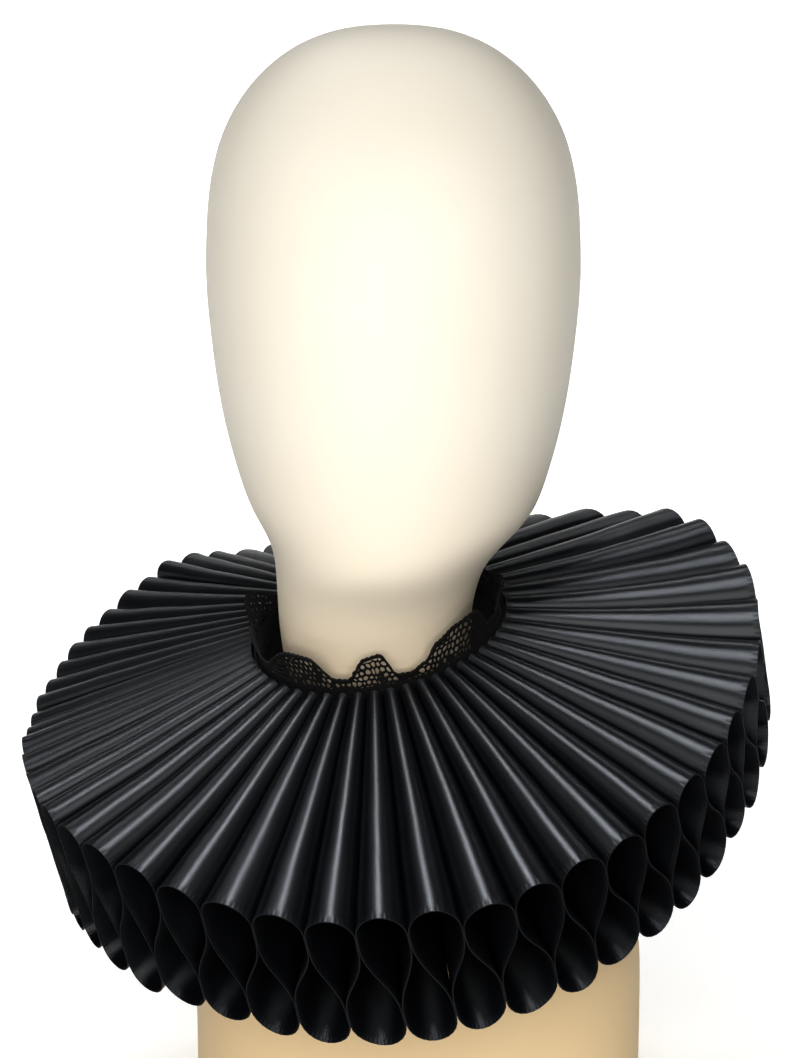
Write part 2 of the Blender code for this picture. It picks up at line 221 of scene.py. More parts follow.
def shaderGroup(name, inputs, outputs):
    group = bpy.data.node_groups.new(name, "ShaderNodeTree")
    for label, value in inputs.items():
        kind = "NodeSocketVector" if value is None else "NodeSocketFloat"
        socket = group.interface.new_socket(label, in_out="INPUT", socket_type=kind)
        if value is not None:
            socket.default_value = value
    for label in outputs:
        group.interface.new_socket(label, in_out="OUTPUT", socket_type="NodeSocketFloat")
    tree = Tree(group)
    start = group.nodes.new("NodeGroupInput")
    end = group.nodes.new("NodeGroupOutput")
    return tree, start.outputs, end.inputs


def makeWeaveGroup():
    # threads along and across the cloth, with uneven yarn; puts out a height and a shade
    sizes = {"Cloth": None, "Along": 3000.0, "Across": 3000.0, "Slub": 0.4}
    tree, start, end = shaderGroup("woven threads", sizes, ("Height", "Shade"))
    parts = tree.put("ShaderNodeSeparateXYZ", start["Cloth"], out=None).outputs
    waves = []
    for axis, count in ((0, "Along"), (1, "Across")):
        turn = tree.math("MULTIPLY", parts[axis], start[count])
        turn = tree.math("MULTIPLY", turn, 2 * math.pi)
        waves.append(tree.math("SINE", turn))
    weave = tree.math("MULTIPLY", waves[0], waves[1])
    slub = tree.put(
        "ShaderNodeTexNoise",
        tree.vector("MULTIPLY", start["Cloth"], (900.0, 60.0, 1.0)),
        to={"Scale": 1.0, "Detail": 3.0},
    )
    slub = tree.math("SUBTRACT", slub, 0.5)
    height = tree.math("MULTIPLY_ADD", slub, start["Slub"], tree.math("MULTIPLY", weave, 0.5))
    tree.join(height, end["Height"])
    tree.join(tree.math("MULTIPLY_ADD", slub, 1.0, 0.5), end["Shade"])
    return tree.tree


weaveGroup = makeWeaveGroup()


def newMaterial(name, **sockets):
    material = bpy.data.materials.new(name)
    material.use_nodes = True
    tree = Tree(material.node_tree)
    shader = material.node_tree.nodes["Principled BSDF"]
    for label, value in sockets.items():
        shader.inputs[label.replace("_", " ")].default_value = value
    return material, tree, shader.inputs


def clothUv(tree):
    return tree.put("ShaderNodeUVMap", uv_map="UVMap")


def mixColours(tree, share, first, second):
    return tree.put(
        "ShaderNodeMix", data_type="RGBA", out=2, to={0: share, 6: first, 7: second}
    )


satin = {
    "black": (0.0008, 0.0009, 0.0014, 1.0),
    "slate": (0.0028, 0.0033, 0.0050, 1.0),
    "edge": (0.007, 0.0075, 0.010, 1.0),
    "ribbonWidth": 101.6 * mm,
    "selvage": 3.0 * mm,
    "toothSpacing": 1.15 * mm,
    "cutEdge": 0.25 * mm,
}


def makeSatin():
    # warp-faced satin: the highlight is drawn out across the ribbon, along each pleat
    material, tree, shader = newMaterial(
        "black satin ribbon",
        Roughness=0.36,
        Specular_Tint=(0.90, 0.95, 1.0, 1.0),
        Anisotropic=0.74,
        Anisotropic_Rotation=0.25,
    )
    tangent = tree.put("ShaderNodeTangent", direction_type="UV_MAP", uv_map="UVMap")
    tree.join(tangent, shader["Tangent"])
    cloth = clothUv(tree)
    parts = tree.put("ShaderNodeSeparateXYZ", cloth, out=None).outputs
    weave = tree.put(
        "ShaderNodeGroup", node_tree=weaveGroup, out=None,
        to={"Cloth": cloth, "Along": 1400.0, "Across": 4200.0, "Slub": 0.7},
    ).outputs
    # distance in from the nearer long edge
    inset = tree.math(
        "MINIMUM", parts[1], tree.math("SUBTRACT", satin["ribbonWidth"], parts[1])
    )
    selvage = tree.ramp(inset, satin["selvage"], 0.4 * satin["selvage"], smooth=True)
    edge = tree.ramp(inset, satin["cutEdge"], 0.0)
    teeth = tree.math("MULTIPLY", parts[0], 2 * math.pi / satin["toothSpacing"])
    teeth = tree.math("MULTIPLY_ADD", tree.math("SINE", teeth), 0.5, 0.5)
    cloud = tree.put(
        "ShaderNodeTexNoise",
        tree.vector("MULTIPLY", cloth, (70.0, 26.0, 1.0)),
        to={"Scale": 1.0, "Detail": 3.0, "Roughness": 0.55},
    )
    shade = tree.math("MULTIPLY_ADD", weave["Shade"], 0.35, tree.math("MULTIPLY", cloud, 0.65))
    colour = mixColours(tree, shade, satin["black"], satin["slate"])
    colour = mixColours(tree, edge, colour, satin["edge"])
    tree.join(colour, shader["Base Color"])
    rough = tree.ramp(cloud, 0.3, 0.7, 0.33, 0.39)
    rough = tree.math("MULTIPLY_ADD", tree.math("MULTIPLY", selvage, teeth), 0.16, rough)
    rough = tree.math("MULTIPLY_ADD", edge, 0.25, rough)
    tree.join(rough, shader["Roughness"])
    tree.join(tree.ramp(edge, 0.0, 1.0, 0.45, 0.2), shader["Specular IOR Level"])
    height = tree.math("MULTIPLY_ADD", tree.math("MULTIPLY", selvage, teeth), 3.0, weave["Height"])
    bump = tree.put(
        "ShaderNodeBump", to={"Height": height, "Strength": 0.55, "Distance": 0.00003}
    )
    tree.join(bump, shader["Normal"])
    return material


satinRibbon = makeSatin()


# The ruffle: one ribbon, folded in loops

ruffle = {
    "cadWall": 1.0 * mm,
    "cadGap": 0.5 * mm,
    "wall": 0.45 * mm,
    "ribbonWidth": 101.6 * mm,
    "topLoops": 52,
    # ribbon in one top loop and one bottom loop: even where it is sewn, and at the rim
    # by ring angle in degrees, in mm
    "sewnRibbon": 127.0 * mm,
    "rimRibbon": (
        (30.0, 127.0), (150.0, 131.0), (190.0, 146.0), (220.0, 153.0),
        (250.0, 143.0), (280.0, 135.0), (310.0, 121.0), (340.0, 113.0),
    ),
    "roundLoopRadius": 8.65 * mm,
    "loopRounding": 0.7,
    "rimSlope": math.radians(12.0),
    "rimCurl": 1.5,
    "looseLoop": 1.2 * mm,
    "looseWaves": ((0.6, 2.1, 0.0), (0.4, 3.7, 1.0)),
    # waves round the ring, height in mm, ring angle of a crest in degrees
    "rimWaves": ((1, 3.5, -6.0), (2, 8.8, 0.0), (3, 6.3, -1.0), (4, 2.5, 28.0)),
    # the ends sink at the back: ring angle and reach in degrees, depth
    "backDip": (103.0, 31.0, 13.0 * mm),
    # ring angle in degrees, degrees of ring for one top loop
    "loopSpacing": (
        (5.0, 9.7), (45.0, 9.7), (95.0, 7.5), (122.0, 5.0),
        (185.0, 4.8), (222.0, 7.8), (270.0, 7.6), (318.0, 6.7),
    ),
    "arcSteps": 6,  # from a crest to the side of its loop
    "sideSteps": 10,  # from a top loop's side down to a bottom loop's
    "stations": 15,
    "touch": 0.32,  # how far neighbouring loops lie side by side, as a share of their height
    "bend": 0.38,  # how soft the turn out of that is
    "uneven": 0.8 * mm,
    "unevenSize": 24.0 * mm,
    "seed": 11,
    # what one loop may differ from the next
    "looseHeight": 0.9 * mm,
    "looseLean": 1.2 * mm,
    "looseTouch": 0.12,
    "looseWidth": 0.05,  # share of a loop by which the line between two may shift
    "tailAcross": 0.06,  # how far from the slit the two ends hang, in loops
    "creaseSide": 11.0 * mm,  # from a crest to the side of its loop, along the ribbon
}

# creases, soft troughs (-) and ridges (+):
# top loop, side of its crest (-1 to 1), share of the ribbon's width where it lies,
# its reach along the ribbon and across it in mm, depth in mm
creases = (
    (2.0, 0.5, 0.62, 9.0, 22.0, -1.1),
    (5.0, -0.6, 0.78, 7.0, 14.0, -0.9),
    (9.0, 0.4, 0.55, 6.0, 18.0, 0.8),
    (12.0, -0.4, 0.70, 8.0, 15.0, -0.9),
    (15.0, 0.5, 0.80, 7.0, 12.0, 0.8),
    (18.0, 0.3, 0.60, 6.0, 20.0, -0.8),
    (21.0, -0.5, 0.72, 8.0, 16.0, -0.9),
    (24.0, 0.6, 0.83, 7.0, 10.0, 0.8),
    (27.0, -0.6, 0.66, 8.0, 18.0, -0.7),
    (30.0, 0.5, 0.86, 6.0, 9.0, -0.6),
    (33.0, -0.5, 0.75, 7.0, 13.0, 0.6),
    (36.0, 0.6, 0.80, 8.0, 14.0, -0.8),
    (39.0, -0.6, 0.70, 9.0, 20.0, -1.2),
    (40.0, 0.5, 0.86, 8.0, 10.0, 0.9),
    (42.0, -0.5, 0.62, 9.0, 16.0, -1.2),
    (43.0, 0.6, 0.82, 8.0, 12.0, -1.0),
    (45.0, -0.5, 0.74, 9.0, 19.0, -1.2),
    (47.0, 0.5, 0.66, 8.0, 14.0, 0.9),
    (49.0, -0.6, 0.80, 9.0, 15.0, -1.0),
)


def ringTable(steps=1440):
    # running count of loops from the slit round the ring, with its ring angle in radians
    slit = math.degrees(ruffPlace["slitWidth"] / ruffPlace["neckHalfDepth"])
    start = ruffPlace["backAngle"] + slit / 2
    step = (360.0 - slit) / steps
    counts, angles = [0.0], [start]
    for i in range(steps):
        counts.append(counts[-1] + step / roundRing(ruffle["loopSpacing"], start + step * (i + 0.5)))
        angles.append(start + step * (i + 1))
    counts = np.array(counts) * ruffle["topLoops"] / counts[-1]
    return counts, np.radians(angles)


loopCounts, loopAngles = ringTable()


def ringAngle(place):
    # ring angle at a running count of loops, carried on past both ends
    place = np.asarray(place, float)
    inside = np.interp(place, loopCounts, loopAngles)
    slopes = np.diff(loopAngles) / np.diff(loopCounts)
    before = np.minimum(place - loopCounts[0], 0) * slopes[0]
    after = np.maximum(place - loopCounts[-1], 0) * slopes[-1]
    return inside + before + after


def ribbonPerLoop(angle, share):
    drawnOut = roundRing(ruffle["rimRibbon"], math.degrees(angle)) * mm - ruffle["sewnRibbon"]
    return ruffle["sewnRibbon"] + share ** ruffle["rimCurl"] * drawnOut


def loopSize(pitch, ribbon):
    # half height and centre height of a loop, from the ribbon in it
    half = (pitch - ruffle["cadWall"] - ruffle["cadGap"]) / 2
    radius = ruffle["roundLoopRadius"]
    tall = radius * (half / radius) ** ruffle["loopRounding"]
    low, high = tall, ribbon / 2
    for _ in range(40):
        centre = (low + high) / 2
        across = pitch / 2 * tall / half
        apart = math.hypot(across, 2 * centre)
        if apart <= 2 * tall:
            low = centre
            continue
        leave = math.acos(2 * tall / apart) - math.atan2(2 * centre, across)
        straight = math.hypot(
            pitch / 2 - 2 * half * math.cos(leave), 2 * centre + 2 * tall * math.sin(leave)
        )
        turns = np.linspace(math.pi - leave, leave, 25)
        arc = np.stack([half * np.cos(turns), tall * np.sin(turns)], 1)
        arc = np.linalg.norm(np.diff(arc, axis=0), axis=1).sum()
        if 2 * (straight + arc) < ribbon:
            low = centre
        else:
            high = centre
    return tall, centre


def looseTable():
    # small differences between the loops, each from -1 to 1: height, lean, touch, width
    dice = random.Random(ruffle["seed"])
    count = 2 * ruffle["topLoops"] + 3
    return [[dice.uniform(-1, 1) for _ in range(4)] for _ in range(count)]


looseLoops = looseTable()


def loopEdges(loop, share):
    # places where a loop meets its neighbours of the same row, in loops
    place = loop / 2 + 0.5
    shift = ruffle["looseWidth"] * share
    last = 2 * ruffle["topLoops"] - 2
    before = shift * looseLoops[loop][3] if loop > 1 else 0.0
    after = shift * looseLoops[loop + 2][3] if loop < last - 1 else 0.0
    return place - 0.5 + before, place + 0.5 + after


def loopOutline(loop, share):
    # one loop of the strip at one station: places in loops and heights over its crest,
    # and how far down it lies against its neighbours
    top = 1 if loop % 2 == 0 else -1
    place = loop / 2 + 0.5
    reach = ruffle["ribbonWidth"] * share * math.cos(ruffle["rimSlope"])
    angle = float(ringAngle(place))
    stepAngle = 2 * float(ringAngle(place + 0.25) - ringAngle(place - 0.25))
    pitch = stepAngle * (neckRadius(angle) + reach)
    tall, centre = loopSize(pitch, ribbonPerLoop(angle, share))
    height, lean, touch, _ = looseLoops[loop]
    begin, finish = loopEdges(loop, share)
    margin = ruffle["wall"] / 2 / pitch
    half = (finish - begin) / 2 - margin
    turns = np.linspace(math.pi, 0.0, 2 * ruffle["arcSteps"] + 1)
    over = np.sin(turns)
    places = (begin + finish) / 2 + half * np.cos(turns)
    places = places + share * ruffle["looseLean"] * lean / pitch * over ** 2
    rise = centre + (tall + share * ruffle["looseHeight"] * height) * over
    return places, top * rise, centre * (ruffle["touch"] + share * ruffle["looseTouch"] * touch)


def looseHeight(loop):
    waves = sum(s * math.sin(t * loop + b) for s, t, b in ruffle["looseWaves"])
    return ruffle["looseLoop"] * waves


def rimWave(angle):
    waves = ruffle["rimWaves"]
    rise = sum(h * mm * np.cos(w * (angle - math.radians(c))) for w, h, c in waves)
    middle, reach, depth = ruffle["backDip"]
    fromDip = np.abs((np.degrees(angle) - middle + 180.0) % 360.0 - 180.0)
    share = np.clip(1 - fromDip / reach, 0, 1)
    return rise - depth * (0.5 - 0.5 * np.cos(math.pi * share))


def sideCurve(first, second, firstTouch, secondTouch):
    # straight down against the neighbour, then a soft S over to the next loop's side
    down = math.copysign(1.0, second[1] - first[1])
    leave = (first[0], first[1] + down * firstTouch)
    arrive = (second[0], second[1] - down * secondTouch)
    pull = abs(arrive[1] - leave[1]) * ruffle["bend"]
    corners = np.array([
        leave, (leave[0], leave[1] + down * pull), (arrive[0], arrive[1] - down * pull), arrive,
    ])
    t = np.linspace(0, 1, ruffle["sideSteps"] - 1)[:, None]
    weights = ((1 - t) ** 3, 3 * t * (1 - t) ** 2, 3 * t ** 2 * (1 - t), t ** 3)
    return sum(w * c for w, c in zip(weights, corners))


def stripLine(share):
    # the strip at one station, from the neck edge (0) to the rim (1), in the ruff's frame
    lines, loose = [], []
    last = 2 * ruffle["topLoops"] - 2
    tailAcross = ruffle["tailAcross"]
    places, heights, touch = loopOutline(0, share)
    before, touchBefore, looseBefore = (tailAcross, -heights[0]), touch, looseHeight(0)
    lines.append(np.array([before]))
    loose.append(np.array([looseBefore]))
    for loop in range(last + 1):
        places, heights, touch = loopOutline(loop, share)
        side = sideCurve(before, (places[0], heights[0]), touchBefore, touch)
        blend = np.linspace(0, 1, len(side) + 2)[1:-1]
        lines += [side, np.stack([places, heights], 1)]
        loose += [looseBefore + (looseHeight(loop) - looseBefore) * blend,
                  np.full(len(places), looseHeight(loop))]
        before, touchBefore, looseBefore = lines[-1][-1], touch, looseHeight(loop)
    tail = (ruffle["topLoops"] - tailAcross, -before[1])
    side = np.concatenate([sideCurve(before, tail, touch, touch), [tail]])
    lines.append(side)
    loose.append(np.full(len(side), looseBefore))
    line, loose = np.concatenate(lines), np.concatenate(loose)
    angles = ringAngle(line[:, 0])
    reach = ruffle["ribbonWidth"] * share
    radius = neckRadius(angles) + reach * math.cos(ruffle["rimSlope"])
    middle = ruffPlace["neckEdgeHeight"] - reach * math.sin(ruffle["rimSlope"])
    middle = middle + share ** ruffle["rimCurl"] * (rimWave(angles) + loose)
    return np.stack([radius * np.cos(angles), radius * np.sin(angles), middle + line[:, 1]], 1)


def ribbonGuide():
    # three lines along the ribbon: neck edge, middle and rim, and the length along them
    lines = [placeInWorld(stripLine(share)) for share in (0.0, 0.5, 1.0)]
    steps = np.mean([np.linalg.norm(np.diff(line, axis=0), axis=1) for line in lines], axis=0)
    along = np.concatenate([[0.0], np.cumsum(steps)])
    guide = bpy.data.meshes.new("ribbonGuide")
    guide.from_pydata(np.concatenate(lines).tolist(), [], [])
    length = guide.attributes.new("along", "FLOAT", "POINT")
    length.data.foreach_set("value", np.tile(along, 3))
    return guide, len(along), float(along[-1])


def ribbonTree(sizes):
    # a sheet between the three guide lines, a little uneven, with its place on the cloth
    tree, start, end = shapeTree("ribbon in loops", sizes)
    count, stations = start["Points Along"], start["Stations"]
    flat = tree.put(
        "GeometryNodeMeshGrid", start["Ribbon Length"], start["Ribbon Width"], count, stations
    )
    index = tree.put("GeometryNodeInputIndex")
    column = tree.math("FLOOR", tree.math("DIVIDE", tree.math("ADD", index, 0.5), stations))
    row = tree.math("SUBTRACT", index, tree.math("MULTIPLY", column, stations))
    share = tree.math("DIVIDE", row, tree.math("SUBTRACT", stations, 1.0))
    spot = tree.put("GeometryNodeInputPosition")
    # each station lies on a curve through the three lines
    twice = tree.math("MULTIPLY", share, 2.0)
    weights = (
        tree.math("MULTIPLY", tree.math("SUBTRACT", 1.0, share), tree.math("SUBTRACT", 1.0, twice)),
        tree.math("MULTIPLY", tree.math("MULTIPLY", twice, 2.0), tree.math("SUBTRACT", 1.0, share)),
        tree.math("MULTIPLY", share, tree.math("SUBTRACT", twice, 1.0)),
    )
    place = None
    for line, weight in enumerate(weights):
        which = tree.math("ADD", column, tree.math("MULTIPLY", count, float(line)))
        point = tree.put(
            "GeometryNodeSampleIndex", start["Geometry"], spot, which,
            data_type="FLOAT_VECTOR", domain="POINT",
        )
        part = tree.scale(point, weight)
        place = part if place is None else tree.vector("ADD", place, part)
    along = tree.put(
        "GeometryNodeSampleIndex", start["Geometry"],
        tree.put("GeometryNodeInputNamedAttribute", "along", data_type="FLOAT"), column,
        data_type="FLOAT", domain="POINT",
    )
    across = tree.math("MULTIPLY", share, start["Ribbon Width"])
    cloth = tree.put("ShaderNodeCombineXYZ", along, across, 0.0)
    keep = tree.put("GeometryNodeCaptureAttribute", flat, out=None, domain="POINT")
    keep.capture_items.new("VECTOR", "Cloth")
    keep.capture_items.new("FLOAT", "Share")
    tree.join(cloth, keep.inputs["Cloth"])
    tree.join(share, keep.inputs["Share"])
    shape = tree.put("GeometryNodeSetPosition", keep.outputs["Geometry"], to={"Position": place})
    noise = tree.put(
        "ShaderNodeTexNoise", out=1, noise_dimensions="4D",
        to={
            "Vector": spot, "W": start["Seed"], "Detail": 1.5, "Roughness": 0.5,
            "Scale": tree.math("DIVIDE", 1.0, start["Uneven Size"]),
        },
    )
    shift = tree.vector("SUBTRACT", noise, (0.5, 0.5, 0.5))
    amount = tree.math("MULTIPLY", start["Uneven"], 2.0)
    amount = tree.math("MULTIPLY", amount, keep.outputs["Share"])
    shape = tree.put("GeometryNodeSetPosition", shape, to={"Offset": tree.scale(shift, amount)})
    shape = tree.put(
        "GeometryNodeStoreNamedAttribute", shape, data_type="FLOAT2", domain="CORNER",
        to={"Name": "UVMap", "Value": keep.outputs["Cloth"]},
    )
    finishTree(tree, shape, start["Material"], end)
    return tree


def addCreases(mesh, alongCount):
    # press the soft troughs and ridges into the open sheet, straight along its normals
    count = len(mesh.vertices)
    spots = np.empty(count * 3)
    normals = np.empty(count * 3)
    mesh.vertices.foreach_get("co", spots)
    mesh.vertices.foreach_get("normal", normals)
    spots, normals = spots.reshape(-1, 3), normals.reshape(-1, 3)
    stations = ruffle["stations"]
    column, row = np.divmod(np.arange(count), stations)
    across = row / (stations - 1) * ruffle["ribbonWidth"]
    perLoop = alongCount / (ruffle["topLoops"] - 0.5)
    along = column * ruffle["sewnRibbon"] / perLoop
    for loop, side, share, reachAlong, reachAcross, depth in creases:
        middle = (loop + 0.5) * ruffle["sewnRibbon"] + side * ruffle["creaseSide"]
        far = ((along - middle) / (reachAlong * mm)) ** 2
        far += ((across - share * ruffle["ribbonWidth"]) / (reachAcross * mm)) ** 2
        spots += normals * (depth * mm * np.exp(-2.0 * far))[:, None]
    mesh.vertices.foreach_set("co", spots.ravel())
    mesh.update()


def makeRuffle():
    guide, count, length = ribbonGuide()
    sizes = {
        "Points Along": count,
        "Stations": ruffle["stations"],
        "Ribbon Width": ruffle["ribbonWidth"],
        "Ribbon Length": length,
        "Uneven": ruffle["uneven"],
        "Uneven Size": ruffle["unevenSize"],
        "Seed": float(ruffle["seed"]),
        "Material": satinRibbon,
    }
    piece = growMesh("ruffle", guide, ribbonTree(sizes), sizes)
    addCreases(piece.data, count)
    addWall(piece, ruffle["wall"])
    print("ruffle:", len(piece.data.polygons), "faces, ribbon", round(length, 3), "m")
    return piece, length


ruffleMesh, ribbonLength = makeRuffle()
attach(ruffleMesh, "root")
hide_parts(*[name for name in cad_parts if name.startswith("ruffle")])


# Neckband: a ribbed ribbon behind the pleats

neckBand = {
    "height": 56.0 * mm,
    "wall": 0.9 * mm,
    "seamGap": 0.4 * mm,
    "steps": 240,
    "rows": 8,
    "ribSpacing": 1.3 * mm,
}


def bandRadius(angle):
    return neckRadius(angle) - neckBand["seamGap"] - ruffle["cadWall"] / 2


def ringSteps(steps):
    # evenly spaced ring angles from one side of the back slit round to the other
    halfSlit = ruffPlace["slitWidth"] / 2 / ruffPlace["neckHalfDepth"]
    start = math.radians(ruffPlace["backAngle"]) + halfSlit
    return np.linspace(start, start + 2 * math.pi - 2 * halfSlit, steps + 1)


def ringPoints(angles, radius, height):
    return np.stack([radius * np.cos(angles), radius * np.sin(angles),
                     np.broadcast_to(height, angles.shape)], 1)


def makeBandMaterial():
    material, tree, shader = newMaterial(
        "black ribbed neckband", Roughness=0.65, Specular_IOR_Level=0.3,
        Sheen_Weight=0.02, Sheen_Roughness=0.5,
    )
    cloth = clothUv(tree)
    parts = tree.put("ShaderNodeSeparateXYZ", cloth, out=None).outputs
    ribs = tree.math("MULTIPLY", parts[0], 2 * math.pi / neckBand["ribSpacing"])
    ribs = tree.math("SINE", ribs)
    weave = tree.put(
        "ShaderNodeGroup", node_tree=weaveGroup, out=None,
        to={"Cloth": cloth, "Along": 1500.0, "Across": 1500.0, "Slub": 0.5},
    ).outputs
    shade = tree.math("MULTIPLY_ADD", ribs, 0.25, weave["Shade"])
    tree.join(mixColours(tree, shade, (0.0025, 0.0025, 0.003, 1), (0.0085, 0.0085, 0.010, 1)),
              shader["Base Color"])
    height = tree.math("MULTIPLY_ADD", ribs, 2.5, weave["Height"])
    bump = tree.put("ShaderNodeBump",
                    to={"Height": height, "Strength": 0.6, "Distance": 0.00006})
    tree.join(bump, shader["Normal"])
    return material


def makeNeckBand():
    angles = ringSteps(neckBand["steps"])
    bottom = ruffPlace["neckEdgeHeight"] - neckBand["height"] / 2
    rows = []
    for row in range(neckBand["rows"] + 1):
        height = bottom + neckBand["height"] * row / neckBand["rows"]
        rows.append(placeInWorld(ringPoints(angles, bandRadius(angles), height)))
    mesh = gridMesh("neckBand", rows)
    length = float(np.linalg.norm(np.diff(rows[0], axis=0), axis=1).sum())
    addUv(mesh, len(angles), lambda row, column: (
        length * column / neckBand["steps"], neckBand["height"] * row / neckBand["rows"]))
    mesh.materials.append(makeBandMaterial())
    piece = addPiece("neckBand", mesh)
    addWall(piece, neckBand["wall"])
    print("neckband:", len(piece.data.polygons), "faces,", round(length, 3), "m")
    return piece, length


neckBandMesh, bandLength = makeNeckBand()
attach(neckBandMesh, "root")
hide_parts("neckband")


# Lace trim: a net of threads between a woven foot and a corded, scalloped edge

lace = {
    "cutWidth": 20.0 * mm,  # what shows over the band
    "footDepth": 7.0 * mm,
    "straight": 3.2 * mm,
    "netFrom": 1.8 * mm,  # over the band's top edge
    "netMargin": 1.6 * mm,  # the net's surface runs on past its two edges
    "steps": 420,
    "rows": 14,
    "lean": 0.2,
    "push": 0.55,
    "pushAngle": 55.0,
    # waves round the ring, lean as a share of the height, start in radians
    "flutes": ((9, 0.10, 0.4), (5, 0.05, 1.0)),
    # ring angle in degrees, height of the edge over the band in mm
    "edge": (
        (6.0, 9.0), (22.0, 5.8), (38.0, 9.5), (53.0, 5.5), (68.0, 9.5), (83.0, 6.0),
        (97.0, 13.0), (110.0, 7.0), (128.0, 16.0), (144.0, 8.0), (162.0, 17.0),
        (176.0, 8.0), (192.0, 17.5), (206.0, 9.0), (226.0, 19.0), (238.0, 19.0),
        (248.0, 8.0), (253.0, 7.5), (264.0, 16.5), (271.0, 17.5), (278.0, 6.5),
        (284.0, 6.0), (291.0, 9.0), (298.0, 16.0), (311.0, 18.5), (320.0, 20.0),
        (333.0, 8.0), (340.0, 7.0), (352.0, 13.0),
    ),
    "meshWide": 2.15 * mm,
    "meshTall": 2.5 * mm,
    "jitter": 1.25 * mm,
    # size of a hole as a share of its cell: least, most, and the few that are nearly closed
    "holes": (0.58, 0.93, 0.25),
    "closed": 0.10,
    "wall": 0.5 * mm,
    "footTop": 2.6 * mm,  # over the band's top edge
    "footWall": 0.7 * mm,
    "footWaves": (90.0, 0.25 * mm),  # waves round the ring, and their height
    "edgeDepth": 1.5 * mm,
    "edgeWall": 0.85 * mm,
    "picot": 0.45 * mm,
    "picotSpacing": 2.3 * mm,
    "seed": 4,
}


def laceRise(degrees):
    return roundRing(lace["edge"], degrees) * mm


def laceLean(angles):
    jaw = np.maximum(0.0, np.cos(angles - math.radians(lace["pushAngle"]))) ** 2
    lean = lace["lean"] + lace["push"] * jaw
    return lean + sum(deep * np.sin(waves * angles + start) for waves, deep, start in lace["flutes"])


def laceSurface(angles, rises, heights):
    # points of the lace at heights over the band's top edge
    bandTop = ruffPlace["neckEdgeHeight"] + neckBand["height"] / 2
    inset = ruffle["cadWall"] + neckBand["seamGap"]
    free = np.maximum(rises - lace["straight"], 1e-5)
    share = np.maximum(heights - lace["straight"], 0.0) / free
    leanShare = 0.52 * share + 0.48 * share ** 2
    radius = bandRadius(angles) - inset + leanShare * laceLean(angles) * free
    return ringPoints(angles, radius, bandTop + heights)


def makeLaceMaterial():
    material, tree, shader = newMaterial(
        "black lace thread", Roughness=0.8, Specular_IOR_Level=0.25,
        Sheen_Weight=0.02, Sheen_Roughness=0.5,
    )
    spot = tree.put("ShaderNodeTexCoord", out=3)
    fuzz = tree.put("ShaderNodeTexNoise", spot, to={"Scale": 1500.0, "Detail": 3.0})
    cloud = tree.put("ShaderNodeTexNoise", spot, to={"Scale": 130.0, "Detail": 2.0})
    share = tree.math("MULTIPLY", fuzz, cloud)
    share = tree.ramp(share, 0.12, 0.40)
    tree.join(mixColours(tree, share, (0.0016, 0.0014, 0.0016, 1), (0.0065, 0.0054, 0.0058, 1)),
              shader["Base Color"])
    tree.join(tree.ramp(fuzz, 0.3, 0.7, 0.7, 0.88), shader["Roughness"])
    twist = tree.put("ShaderNodeTexWave", spot, wave_type="BANDS", bands_direction="DIAGONAL",
                     to={"Scale": 420.0, "Distortion": 1.5, "Detail": 1.0})
    bump = tree.put("ShaderNodeBump",
                    to={"Height": twist, "Strength": 0.5, "Distance": 0.00008})
    tree.join(bump, shader["Normal"])
    return material


laceThread = makeLaceMaterial()


def laceGuide():
    # the net's surface: UV is the share round the ring and the share of its height
    angles = ringSteps(lace["steps"])
    rises = np.array([laceRise(math.degrees(angle)) for angle in angles])
    rows = []
    for row in range(lace["rows"] + 1):
        low, high = lace["netFrom"] - lace["netMargin"], rises + lace["netMargin"]
        heights = low + (high - low) * row / lace["rows"]
        rows.append(placeInWorld(laceSurface(angles, rises, heights)))
    guide = gridMesh("laceGuide", rows)
    addUv(guide, len(angles), lambda row, column: (column / lace["steps"], row / lace["rows"]))
    rise = guide.attributes.new("rise", "FLOAT", "POINT")
    rise.data.foreach_set("value", np.tile(rises - lace["netFrom"], lace["rows"] + 1))
    length = float(np.linalg.norm(np.diff(rows[0], axis=0), axis=1).sum())
    return guide, length, rises


